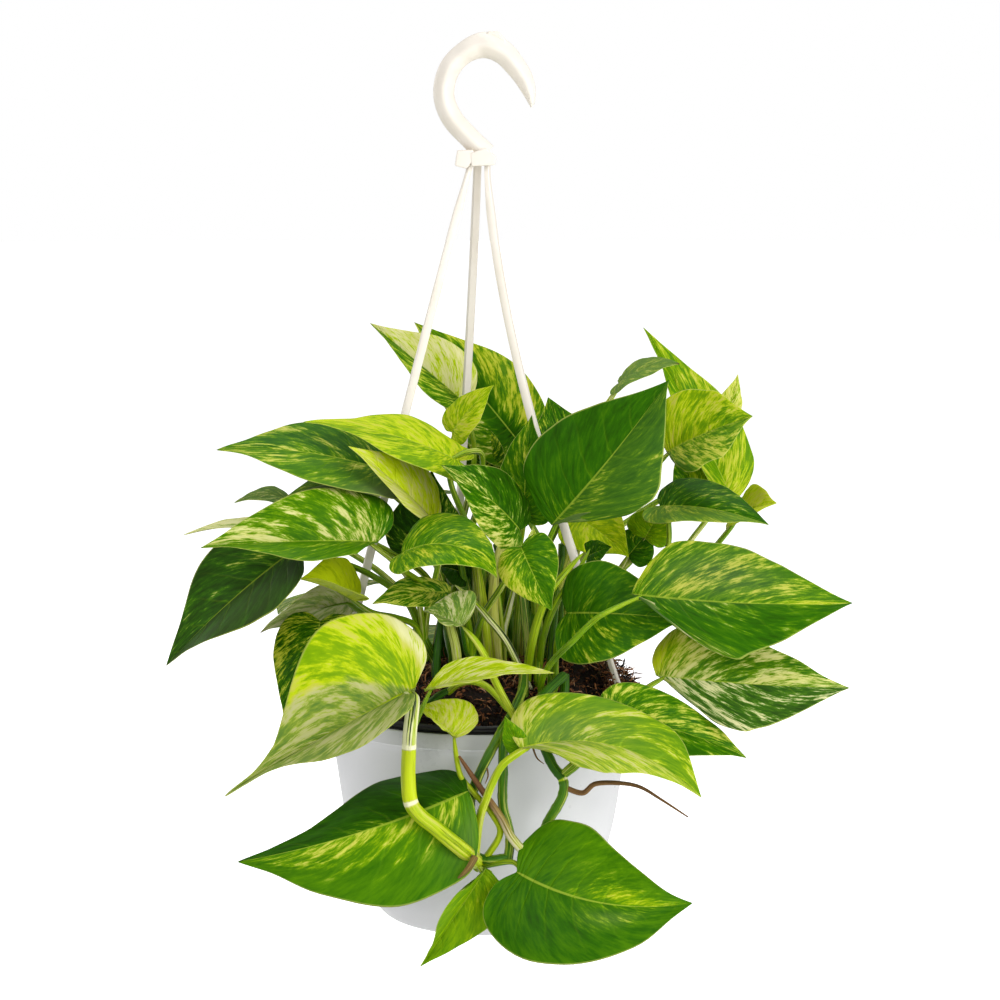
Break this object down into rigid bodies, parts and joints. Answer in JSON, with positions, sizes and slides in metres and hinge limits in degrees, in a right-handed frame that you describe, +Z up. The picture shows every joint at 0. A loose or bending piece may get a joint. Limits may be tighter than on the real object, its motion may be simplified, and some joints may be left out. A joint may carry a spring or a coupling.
{
  "type": "potted pothos",
  "caption": "Variegated trailing pothos in a round white hanging pot, held under a moulded hook by slim moulded arms that clip over the rim.",
  "frame": {"origin": "the seat inside the crown of the hook, where the rail or bracket that holds the plant bears", "axes": "+Z up, -Y towards the viewer of the picture, +X to that viewer's right; the pot's axis is x = 0, y = 0"},
  "size_m": [0.3291, 0.3042, 0.447],
  "materials": {
    "white_plastic": "satin white",
    "cream_plastic": "satin cream white",
    "black_plastic": "matt black",
    "coir": "loose dark fibre",
    "variegated_leaf": "waxy leaf"
  },
  "bodies": {
    "root": {"pot": "white_plastic", "grow_pot": "black_plastic", "soil": "coir", "hook": "cream_plastic", "hanger_arm_1": "cream_plastic", "hanger_arm_2": "cream_plastic", "hanger_arm_3": "cream_plastic", "stem_back_left": "variegated_leaf", "stem_left_upper": "variegated_leaf", "stem_left_middle": "variegated_leaf", "stem_centre": "variegated_leaf", "stem_centre_back": "variegated_leaf", "stem_right_big": "variegated_leaf", "stem_right_top": "variegated_leaf", "stem_right_middle": "variegated_leaf", "stem_right": "variegated_leaf", "stem_left_low": "variegated_leaf", "vine_front": "variegated_leaf", "vine_front_right": "variegated_leaf", "vine_back": "variegated_leaf"}
  },
  "joints": []
}
